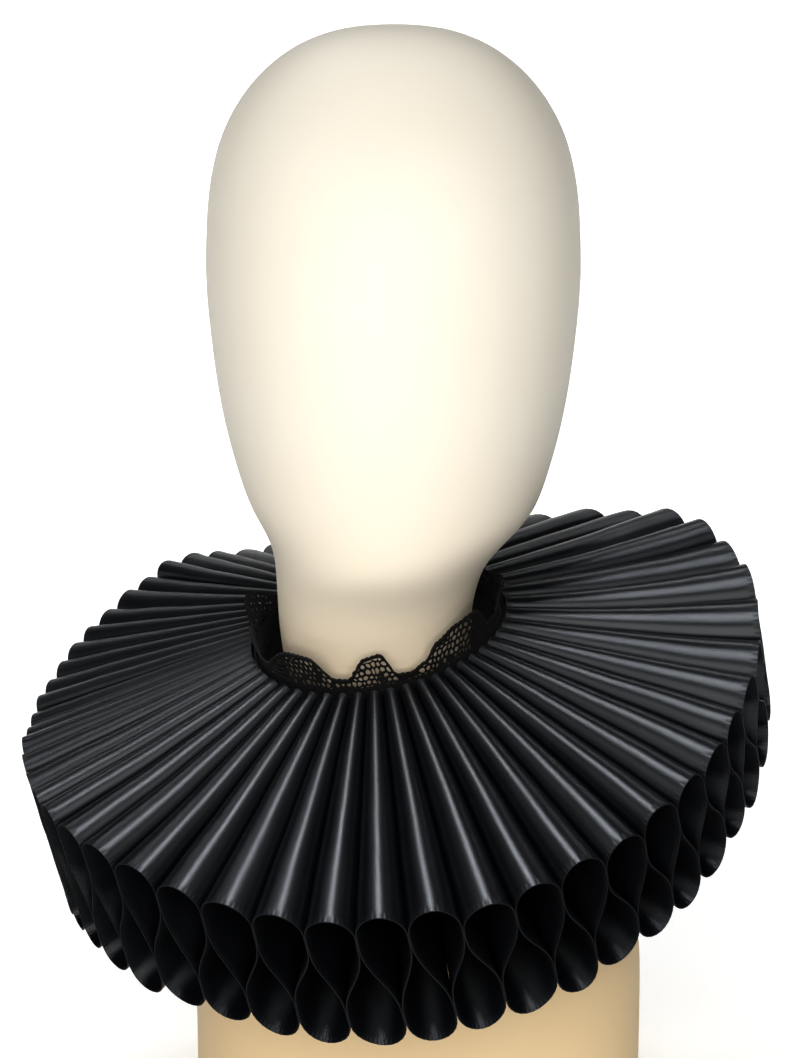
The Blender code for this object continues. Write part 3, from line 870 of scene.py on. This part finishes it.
def laceTree(sizes):
    # an uneven net with rounded holes, laid on the guide's surface and cut off at its edge
    tree, start, end = shapeTree("lace net", sizes)
    countWide = tree.math("ADD", tree.math("DIVIDE", start["Lace Length"], start["Mesh Wide"]), 3.0)
    countTall = tree.math("ADD", tree.math("DIVIDE", start["Lace Height"], start["Mesh Tall"]), 3.0)
    wide = tree.math("MULTIPLY", tree.math("SUBTRACT", countWide, 1.0), start["Mesh Wide"])
    tall = tree.math("MULTIPLY", tree.math("SUBTRACT", countTall, 1.0), start["Mesh Tall"])
    flat = tree.put("GeometryNodeMeshGrid", wide, tall, countWide, countTall)
    spot = tree.put("GeometryNodeInputPosition")
    row = tree.math("MODULO", tree.put("GeometryNodeInputIndex"), tree.math("FLOOR", countTall))
    slide = tree.math("MULTIPLY", start["Mesh Wide"], 0.5)
    slide = tree.math("MULTIPLY", tree.math("MODULO", row, 2.0), slide)
    offset = tree.put("ShaderNodeCombineXYZ", slide, 0.0, 0.0)
    shape = tree.put("GeometryNodeSetPosition", flat, to={"Offset": offset})
    shape = tree.put("GeometryNodeTriangulate", shape, quad_method="SHORTEST_DIAGONAL")
    chance = tree.put(
        "FunctionNodeRandomValue", data_type="FLOAT_VECTOR",
        to={0: (-1.0, -1.0, 0.0), 1: (1.0, 1.0, 0.0), "Seed": start["Seed"]},
    )
    jitter = tree.scale(chance, start["Jitter"])
    shape = tree.put("GeometryNodeSetPosition", shape, to={"Offset": jitter})
    shape = tree.put("GeometryNodeDualMesh", shape)
    # where a point of the flat net falls on the guide: share round the ring, share of height
    middle = tree.put("ShaderNodeCombineXYZ", tree.math("MULTIPLY", wide, 0.5),
                      tree.math("MULTIPLY", tall, 0.5), 0.0)
    parts = tree.put("ShaderNodeSeparateXYZ", tree.vector("ADD", spot, middle), out=None).outputs
    margin = tree.math("MULTIPLY", start["Mesh Wide"], 1.5)
    along = tree.math("DIVIDE", tree.math("SUBTRACT", parts[0], margin), start["Lace Length"])
    uvMap = tree.put("GeometryNodeInputNamedAttribute", "UVMap", data_type="FLOAT_VECTOR")

    def sample(kind, value, alongShare, upShare):
        return tree.put(
            "GeometryNodeSampleUVSurface", data_type=kind,
            to={
                "Mesh": start["Geometry"], "Value": value, "Source UV Map": uvMap,
                "Sample UV": tree.put("ShaderNodeCombineXYZ", alongShare, upShare, 0.0),
            },
        )

    alongShare = tree.put("ShaderNodeClamp", along, 0.001, 0.999)
    riseOf = tree.put("GeometryNodeInputNamedAttribute", "rise", data_type="FLOAT")
    rise = sample("FLOAT", riseOf, alongShare, 0.5)
    low = tree.math("SUBTRACT", parts[1], tree.math("MULTIPLY", start["Mesh Tall"], 1.1))
    up = tree.math("DIVIDE", tree.math("ADD", low, start["Margin"]),
                   tree.math("MULTIPLY_ADD", start["Margin"], 2.0, rise))
    # cells past the edges go
    inset = tree.math("MULTIPLY", start["Mesh Tall"], 0.5)
    outside = tree.put("FunctionNodeBooleanMath",
                       tree.put("FunctionNodeCompare", low, tree.math("SUBTRACT", rise, inset),
                                operation="GREATER_THAN"),
                       tree.put("FunctionNodeCompare", low, tree.math("MULTIPLY", inset, -1.0),
                                operation="LESS_THAN"), operation="OR")
    beside = tree.math("ABSOLUTE", tree.math("SUBTRACT", along, 0.5))
    beside = tree.put("FunctionNodeCompare", beside, 0.495, operation="GREATER_THAN")
    outside = tree.put("FunctionNodeBooleanMath", outside, beside, operation="OR")
    shape = tree.put("GeometryNodeDeleteGeometry", shape, outside, domain="FACE")
    # a hole in each cell
    cells = tree.put("GeometryNodeExtrudeMesh", shape, out=None, mode="FACES",
                     to={"Offset Scale": 0.0, "Individual": True}).outputs
    size = tree.put("FunctionNodeRandomValue", data_type="FLOAT", out=1,
                    to={2: start["Least Hole"], 3: start["Most Hole"], "Seed": start["Seed"]})
    closed = tree.put("FunctionNodeRandomValue", data_type="FLOAT", out=1,
                      to={2: 0.0, 3: 1.0, "Seed": tree.math("ADD", start["Seed"], 1.0)})
    closed = tree.put("FunctionNodeCompare", closed, start["Closed"], operation="LESS_THAN")
    size = tree.put("GeometryNodeSwitch", closed, size, start["Small Hole"], input_type="FLOAT")
    shape = tree.put("GeometryNodeScaleElements", cells["Mesh"], cells["Top"], size,
                     domain="FACE")
    shape = tree.put("GeometryNodeDeleteGeometry", shape, cells["Top"], domain="FACE")
    shape = tree.put("GeometryNodeSubdivisionSurface", shape, 1, boundary_smooth="ALL")
    place = sample("FLOAT_VECTOR", spot, alongShare, tree.put("ShaderNodeClamp", up, 0.001, 0.999))
    shape = tree.put("GeometryNodeSetPosition", shape, to={"Position": place})
    shape = tree.put("GeometryNodeMergeByDistance", shape, to={"Distance": start["Merge"]})
    finishTree(tree, shape, start["Material"], end)
    return tree


def makeLaceNet():
    guide, length, rises = laceGuide()
    least, most, small = lace["holes"]
    sizes = {
        "Lace Length": length,
        "Lace Height": float(rises.max()),
        "Mesh Wide": lace["meshWide"],
        "Mesh Tall": lace["meshTall"],
        "Jitter": lace["jitter"],
        "Least Hole": least,
        "Most Hole": most,
        "Small Hole": small,
        "Closed": lace["closed"],
        "Merge": 0.05 * mm,
        "Margin": lace["netMargin"],
        "Seed": lace["seed"],
        "Material": laceThread,
    }
    net = growMesh("laceNet", guide, laceTree(sizes), sizes)
    addWall(net, lace["wall"], even=False)
    print("lace net:", len(net.data.polygons), "faces,", round(length, 3), "m")
    return net, length, float(rises.mean())


def laceStrip(name, steps, heightsOf, wall):
    # solid strip of the lace, between heights worked out from the rise of its edge
    angles = ringSteps(steps)
    rises = np.array([laceRise(math.degrees(angle)) for angle in angles])
    rows = [placeInWorld(laceSurface(angles, rises, heights)) for heights in heightsOf(angles, rises)]
    mesh = gridMesh(name, rows)
    mesh.materials.append(laceThread)
    strip = addPiece(name, mesh)
    addWall(strip, wall)
    return strip


def edgeHeights(angles, rises):
    # the closely worked edge, with small loops along its top
    around = angles * ruffPlace["neckHalfWidth"]
    loops = np.abs(np.sin(math.pi * around / lace["picotSpacing"]))
    low = rises - lace["edgeDepth"] * (1 + 0.25 * np.sin(0.7 * around / lace["picotSpacing"]))
    return low, rises - 0.35 * lace["edgeDepth"], rises + lace["picot"] * (loops - 0.5)


def footHeights(angles, rises):
    waves, tall = lace["footWaves"]
    top = lace["footTop"] + tall * np.sin(angles * waves)
    return [-lace["footDepth"] + (top + lace["footDepth"]) * share for share in np.linspace(0, 1, 5)]


laceNet, laceLength, laceHeight = makeLaceNet()
laceEdge = laceStrip("laceEdge", 1120, edgeHeights, lace["edgeWall"])
laceFoot = laceStrip("laceFoot", lace["steps"], footHeights, lace["footWall"])
for piece in (laceNet, laceEdge, laceFoot):
    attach(piece, "root")
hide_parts("lace_trim")


# Sewing: two rows of hand stitches inside, at the lace's foot and at the band's lower edge

stitches = {
    "spacing": 4.4 * mm,
    "length": 2.7 * mm,
    "thickness": 0.42 * mm,
    "uneven": 0.16,  # share of the length, and radians of turn
    "fromEnds": 4,  # steps of the ring left free at the slit
    "footRow": -3.4 * mm,  # from the band's top edge
    "bandRow": 3.6 * mm,  # from its lower edge
    "seed": 7,
}


def stitchTree(sizes):
    tree, start, end = shapeTree("hand stitches", sizes)
    line = tree.put("GeometryNodeMeshToCurve", start["Geometry"])
    line = tree.put("GeometryNodeResampleCurve", line, mode="LENGTH", to={"Length": start["Spacing"]})
    spots = tree.put("GeometryNodeCurveToPoints", line, out=None, mode="EVALUATED").outputs
    thread = tree.put("GeometryNodeMeshUVSphere", 8, 6, 0.5)
    loose = tree.put("FunctionNodeRandomValue", data_type="FLOAT", out=1,
                     to={2: -1.0, 3: 1.0, "Seed": start["Seed"]})
    loose = tree.math("MULTIPLY", loose, start["Uneven"])
    long = tree.math("MULTIPLY", start["Length"], tree.math("ADD", loose, 1.0))
    size = tree.put("ShaderNodeCombineXYZ", start["Thickness"], start["Thickness"], long)
    shape = tree.put("GeometryNodeInstanceOnPoints", spots["Points"],
                     to={"Instance": thread, "Rotation": spots["Rotation"], "Scale": size})
    turn = tree.put("ShaderNodeCombineXYZ", loose, loose, 0.0)
    shape = tree.put("GeometryNodeRotateInstances", shape, to={"Rotation": turn})
    finishTree(tree, shape, start["Material"], end)
    return tree


def makeStitches():
    free = stitches["fromEnds"]
    angles = ringSteps(neckBand["steps"])[free:-free]
    bandTop = ruffPlace["neckEdgeHeight"] + neckBand["height"] / 2
    inset = ruffle["cadWall"] + neckBand["seamGap"] + lace["footWall"] / 2
    rows = (
        (bandRadius(angles) - inset, bandTop + stitches["footRow"]),
        (bandRadius(angles) - neckBand["wall"] / 2, bandTop - neckBand["height"] + stitches["bandRow"]),
    )
    points, edges = [], []
    for radius, height in rows:
        first = len(points)
        points += placeInWorld(ringPoints(angles, radius, height)).tolist()
        edges += [(i, i + 1) for i in range(first, len(points) - 1)]
    guide = bpy.data.meshes.new("stitchGuide")
    guide.from_pydata(points, edges, [])
    sizes = {
        "Spacing": stitches["spacing"],
        "Length": stitches["length"],
        "Thickness": stitches["thickness"],
        "Uneven": stitches["uneven"],
        "Seed": stitches["seed"],
        "Material": laceThread,
    }
    made = growMesh("stitches", guide, stitchTree(sizes), sizes)
    made.data.shade_smooth()
    print("stitches:", len(made.data.polygons), "faces")
    return made


stitchMesh = makeStitches()
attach(stitchMesh, "root")


# Closure: the CAD hooks and bars keep their shape and get a coated metal finish

def makeHookMaterial():
    material, tree, shader = newMaterial(
        "black coated hook wire", Metallic=0.85, Specular_IOR_Level=0.5
    )
    spot = tree.put("ShaderNodeTexCoord", out=3)
    wear = tree.put("ShaderNodeTexNoise", spot, to={"Scale": 700.0, "Detail": 4.0})
    worn = tree.ramp(wear, 0.56, 0.72)
    tree.join(mixColours(tree, worn, (0.022, 0.022, 0.024, 1), (0.16, 0.155, 0.15, 1)),
              shader["Base Color"])
    tree.join(tree.ramp(wear, 0.3, 0.7, 0.28, 0.45), shader["Roughness"])
    bump = tree.put("ShaderNodeBump", to={"Height": wear, "Strength": 0.2, "Distance": 0.00003})
    tree.join(bump, shader["Normal"])
    return material


hookWire = makeHookMaterial()
for name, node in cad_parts.items():
    if name.startswith(("hook_", "bar_")):
        node.data.materials.clear()
        node.data.materials.append(hookWire)


# Display head: a finer loft through the same level sections as the CAD

displayHead = {
    # height, centre x, centre y, half width, depth in front, depth behind, all in mm
    "sections": (
        (3.0, 0.0, 0.0, 95.0, 75.0, 75.0),
        (34.0, 0.0, 0.0, 95.0, 75.0, 75.0),
        (64.0, 0.0, 0.0, 94.5, 74.5, 74.5),
        (79.0, 0.5, -1.0, 90.0, 71.0, 72.0),
        (91.0, 1.0, -3.0, 80.0, 64.0, 66.0),
        (103.0, 1.0, -6.0, 66.0, 54.0, 58.0),
        (116.0, 0.5, -9.5, 57.0, 50.0, 55.0),
        (128.0, -1.5, -13.0, 52.0, 48.2, 50.0),
        (139.0, -4.0, -16.0, 48.2, 45.8, 46.5),
        (150.0, -7.0, -19.5, 43.5, 42.0, 43.0),
        (162.0, -9.5, -23.0, 41.0, 40.5, 41.0),
        (175.0, -12.0, -27.0, 39.5, 39.5, 40.0),
        (200.0, -16.5, -35.5, 38.5, 39.0, 39.5),
        (216.0, -18.0, -40.0, 38.5, 41.5, 40.0),
        (230.0, -17.0, -41.5, 40.0, 48.0, 41.5),
        (240.0, -15.5, -41.0, 42.0, 59.0, 43.0),
        (249.0, -12.5, -38.0, 47.5, 66.0, 48.0),
        (260.0, -10.5, -33.0, 56.5, 72.0, 55.0),
        (276.0, -10.5, -28.0, 62.5, 78.5, 68.0),
        (300.0, -10.5, -25.0, 68.5, 84.0, 83.0),
        (325.0, -10.5, -23.0, 72.0, 87.0, 92.0),
        (352.0, -10.5, -22.0, 74.0, 87.5, 95.0),
        (378.0, -10.5, -21.0, 73.0, 84.5, 92.5),
        (400.0, -10.5, -20.0, 69.0, 77.0, 85.0),
        (418.0, -10.5, -19.0, 60.5, 65.0, 73.0),
        (433.0, -10.5, -18.0, 47.0, 50.0, 55.0),
        (442.0, -10.5, -17.0, 32.0, 34.0, 37.0),
        (446.5, -10.5, -16.5, 15.0, 16.0, 17.0),
    ),
    "crown": (447.3, -10.5, -16.5, 0.0, 0.0, 0.0),
    "edgeRadius": 2.6 * mm,
    "edgeSteps": 5,
    "rings": 132,
    "sides": 112,
    "baseSquareness": 2.5,
    "headSquareness": 2.15,
    "shoulder": (96.0 * mm, 124.0 * mm),  # where one squareness turns into the other
    "softening": 5.0 * mm,
    "softFrom": (25.0 * mm, 45.0 * mm),  # along the outline, over the base's foot
}


def headProfile():
    # the sections' columns along the outline, softened so that no section shows as a band
    table = np.array(displayHead["sections"] + (displayHead["crown"],)) * mm
    mirrored = table[-2:-6:-1].copy()
    mirrored[:, 3:] *= -1
    mirrored[:, 1:3] = table[-1, 1:3]
    full = np.concatenate([table, mirrored])
    steps = np.hypot(np.diff(full[:, 0]), np.diff(full[:, 3]))
    place = np.concatenate([[0.0], np.cumsum(steps)])
    slope = np.diff(full, axis=0) / steps[:, None]
    tangent = np.zeros_like(full)
    a, b = slope[:-1], slope[1:]
    wa, wb = steps[:-1, None], steps[1:, None]
    same = a * b > 0
    mean = (wa + wb) * 3 / ((2 * wb + wa) / np.where(same, a, 1) + (wb + 2 * wa) / np.where(same, b, 1))
    tangent[1:-1] = np.where(same, mean, 0)
    tangent[len(table) - 1] = slope[len(table) - 2]
    tangent[len(table) - 1, 0] = 0
    fine = np.arange(0.0, place[-1], 1.0 * mm)
    k = np.clip(np.searchsorted(place, fine, "right") - 1, 0, len(steps) - 1)
    h = steps[k][:, None]
    t = ((fine - place[k]) / steps[k])[:, None]
    line = (full[k] * (1 + 2 * t) * (1 - t) ** 2 + full[k + 1] * t * t * (3 - 2 * t)
            + h * tangent[k] * t * (1 - t) ** 2 - h * tangent[k + 1] * t * t * (1 - t))
    reach = int(3 * displayHead["softening"] / mm)
    kernel = np.exp(-0.5 * (np.arange(-reach, reach + 1) * mm / displayHead["softening"]) ** 2)
    kernel /= kernel.sum()
    padded = np.concatenate([np.repeat(line[:1], reach, 0), line, np.repeat(line[-1:], reach, 0)])
    soft = np.stack([np.convolve(padded[:, c], kernel, "valid") for c in range(6)], 1)
    begin, whole = displayHead["softFrom"]
    keep = np.clip((fine - begin) / (whole - begin), 0, 1)[:, None]
    line = line * (1 - keep) + soft * keep
    crown = place[len(table) - 1]
    return fine, line, crown


def headRing(row, inset=0.0):
    height, centreX, centreY, half, front, behind = row
    low, high = displayHead["shoulder"]
    share = min(max((height - low) / (high - low), 0), 1)
    share = share * share * (3 - 2 * share)
    power = displayHead["baseSquareness"] * (1 - share) + displayHead["headSquareness"] * share
    turns = np.linspace(0, 2 * math.pi, displayHead["sides"], endpoint=False)
    across = np.sign(np.cos(turns)) * np.abs(np.cos(turns)) ** (2 / power)
    deep = np.sign(np.sin(turns)) * np.abs(np.sin(turns)) ** (2 / power)
    depth = np.where(deep > 0, behind, front) - inset
    return np.stack([centreX + (half - inset) * across, centreY + depth * deep,
                     np.full(len(turns), height)], 1)


def makeHeadMaterial():
    # moulded plastic: a warm ivory with a faint orange-peel surface, painted darker and warmer below
    # the ruff as painted shade
    material, tree, shader = newMaterial(
        "ivory moulded plastic", Roughness=0.5, Specular_IOR_Level=0.25, IOR=1.47
    )
    spot = tree.put("ShaderNodeTexCoord", out=3)
    cloud = tree.put("ShaderNodeTexNoise", spot, to={"Scale": 9.0, "Detail": 3.0})
    grain = tree.put("ShaderNodeTexNoise", spot, to={"Scale": 420.0, "Detail": 2.0})
    share = tree.ramp(cloud, 0.32, 0.68)
    # painted shade: under the ruff the neck and base are painted darker and warmer than the head,
    # standing in for the ruff's shadow
    height = tree.put("ShaderNodeSeparateXYZ", spot, out=2)
    height = tree.ramp(height, 0.12, 0.31, smooth=True)
    shadedBase = mixColours(tree, share, (0.66, 0.51, 0.31, 1), (0.70, 0.55, 0.345, 1))
    head = mixColours(tree, share, (0.935, 0.88, 0.77, 1), (0.955, 0.91, 0.815, 1))
    tree.join(mixColours(tree, height, shadedBase, head), shader["Base Color"])
    tree.join(tree.ramp(cloud, 0.3, 0.7, 0.50, 0.60), shader["Roughness"])
    bump = tree.put("ShaderNodeBump",
                    to={"Height": grain, "Strength": 0.12, "Distance": 0.00015})
    tree.join(bump, shader["Normal"])
    return material


def makeDisplayHead():
    fine, line, crown = headProfile()
    rows = []
    edge = displayHead["edgeRadius"]
    first = line[0]
    for step in range(displayHead["edgeSteps"]):
        done = step / displayHead["edgeSteps"]
        turn = math.pi / 2 * done
        row = first.copy()
        row[0] = first[0] - edge * math.cos(turn) - (first[0] - edge) * (1 - done)
        rows.append(headRing(row, edge * (1 - math.sin(turn))))
    places = np.linspace(0.0, crown, displayHead["rings"] + 1)[:-1]
    for place in places:
        rows.append(headRing([np.interp(place, fine, line[:, c]) for c in range(6)]))
    rows = np.array(rows)
    mesh = gridMesh("displayHead", rows, closed=True)
    wide = displayHead["sides"]
    points = rows.reshape(-1, 3).tolist()
    topPoint = [np.interp(crown, fine, line[:, c]) for c in (1, 2, 0)]
    faces = [tuple(polygon.vertices) for polygon in mesh.polygons]
    faces.append(tuple(reversed(range(wide))))
    last = len(points) - wide
    points.append(topPoint)
    faces += [(last + i, last + (i + 1) % wide, len(points) - 1) for i in range(wide)]
    bpy.data.meshes.remove(mesh)
    mesh = bpy.data.meshes.new("displayHead")
    mesh.from_pydata(points, [], faces)
    mesh.materials.append(makeHeadMaterial())
    mesh.shade_smooth()
    mesh.set_sharp_from_angle(angle=math.radians(50))
    piece = addPiece("displayHead", mesh)
    print("display head:", len(mesh.polygons), "faces")
    return piece


headMesh = makeDisplayHead()
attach(headMesh, "root")
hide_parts("display_head")


# Floor, light and camera

# metres: half its width, how far it runs in front and back, the bend's radius, its top
floorSheet = {"half": 3.0, "front": 0.4, "back": 2.2, "bend": 0.9, "bendSteps": 14, "top": 1.2}

studio = {
    "target": Vector((-9.1, 0.0, 242.0)) * mm,
    "distance": 1.0,
    "elevation": math.radians(12.0),
    "lens": 82.0,
    # place, what it faces, size across and up, watts, colour
    "lights": (
        ("topLight", (-0.62, 0.65, 2.3), (-0.62, 0.1, 0.15), (0.17, 2.3), 9.0, (0.94, 0.97, 1.0)),
        ("keyLight", (-0.12, -0.75, 2.0), (-0.12, -0.4, 0.15), (0.2, 1.1), 46.0, (0.97, 0.98, 1.0)),
        ("frontLight", (-0.15, -1.9, 0.75), (-0.15, 0.0, 0.27), (1.8, 1.5), 46.0, (1.0, 0.98, 0.95)),
        ("backdropLight", (0.0, 1.3, 2.2), (0.0, 3.0, 0.2), (3.0, 0.3), 70.0, (1.0, 1.0, 1.0)),
    ),
    "onRuffOnly": "keyLight",  # kept off the head and the floor, as a flag would
    "seen": (1.0, 1.0, 1.0, 1.0),  # the pale studio round the stage
    "fill": (0.93, 0.96, 1.0, 1.0),  # and the weak light that comes from it
    "fillStrength": 0.03,
    "contrast": 0.82,
}


def makeFloor():
    # a pale sheet that runs back and curves up behind, and gives off a little light
    half, back, bend = floorSheet["half"], floorSheet["back"], floorSheet["bend"]
    steps = floorSheet["bendSteps"]
    line = [(-floorSheet["front"], 0.0), (back, 0.0)]
    for step in range(1, steps + 1):
        turn = math.pi / 2 * step / steps
        line.append((back + bend * math.sin(turn), bend * (1 - math.cos(turn))))
    line.append((back + bend, floorSheet["top"]))
    rows = [[(x, y, z) for x in (-half, half)] for y, z in line]
    mesh = gridMesh("floor", rows)
    material, tree, shader = newMaterial(
        "lit white sheet", Roughness=0.9, Specular_IOR_Level=0.2,
        Emission_Color=(1.0, 1.0, 1.0, 1.0), Emission_Strength=0.4,
    )
    spot = tree.put("ShaderNodeTexCoord", out=3)
    grain = tree.put("ShaderNodeTexNoise", spot, to={"Scale": 30.0, "Detail": 2.0})
    tree.join(mixColours(tree, grain, (0.90, 0.90, 0.89, 1), (0.93, 0.93, 0.92, 1)),
              shader["Base Color"])
    mesh.materials.append(material)
    mesh.shade_smooth()
    addPiece("floor", mesh)


def makeLights():
    for name, spot, aim, size, watts, colour in studio["lights"]:
        light = bpy.data.lights.new(name, "AREA")
        light.shape = "RECTANGLE"
        light.size, light.size_y = size
        light.energy = watts
        light.color = colour
        lamp = bpy.data.objects.new(name, light)
        bpy.context.scene.collection.objects.link(lamp)
        lamp.location = spot
        lamp.rotation_euler = (Vector(aim) - Vector(spot)).to_track_quat("-Z", "Y").to_euler()
        if name == studio["onRuffOnly"]:
            lit = bpy.data.collections.new("lit by " + name)
            for piece in (ruffleMesh, neckBandMesh, laceNet, laceEdge, laceFoot):
                lit.objects.link(piece)
            lamp.light_linking.receiver_collection = lit


def makeWorld():
    world = bpy.data.worlds.new("studio")
    bpy.context.scene.world = world
    world.use_nodes = True
    tree = Tree(world.node_tree)
    seen = tree.put("ShaderNodeBackground", studio["seen"], 1.0)
    fill = tree.put("ShaderNodeBackground", studio["fill"], studio["fillStrength"])
    camera = tree.put("ShaderNodeLightPath")
    both = tree.put("ShaderNodeMixShader", camera, fill, seen)
    tree.join(both, world.node_tree.nodes["World Output"].inputs["Surface"])


def makeCamera():
    camera = bpy.data.objects.new("camera", bpy.data.cameras.new("camera"))
    bpy.context.scene.collection.objects.link(camera)
    tilt = studio["elevation"]
    back = Vector((0.0, -math.cos(tilt), math.sin(tilt)))
    camera.location = studio["target"] + back * studio["distance"]
    camera.rotation_euler = (-back).to_track_quat("-Z", "Y").to_euler()
    camera.data.lens = studio["lens"]
    camera.data.clip_start = 0.02
    camera.data.clip_end = 50.0
    bpy.context.scene.camera = camera


makeFloor()
makeLights()
makeWorld()
makeCamera()
bpy.context.scene.view_settings.view_transform = "Standard"
bpy.context.scene.view_settings.gamma = studio["contrast"]
print("floor, light and camera: done")
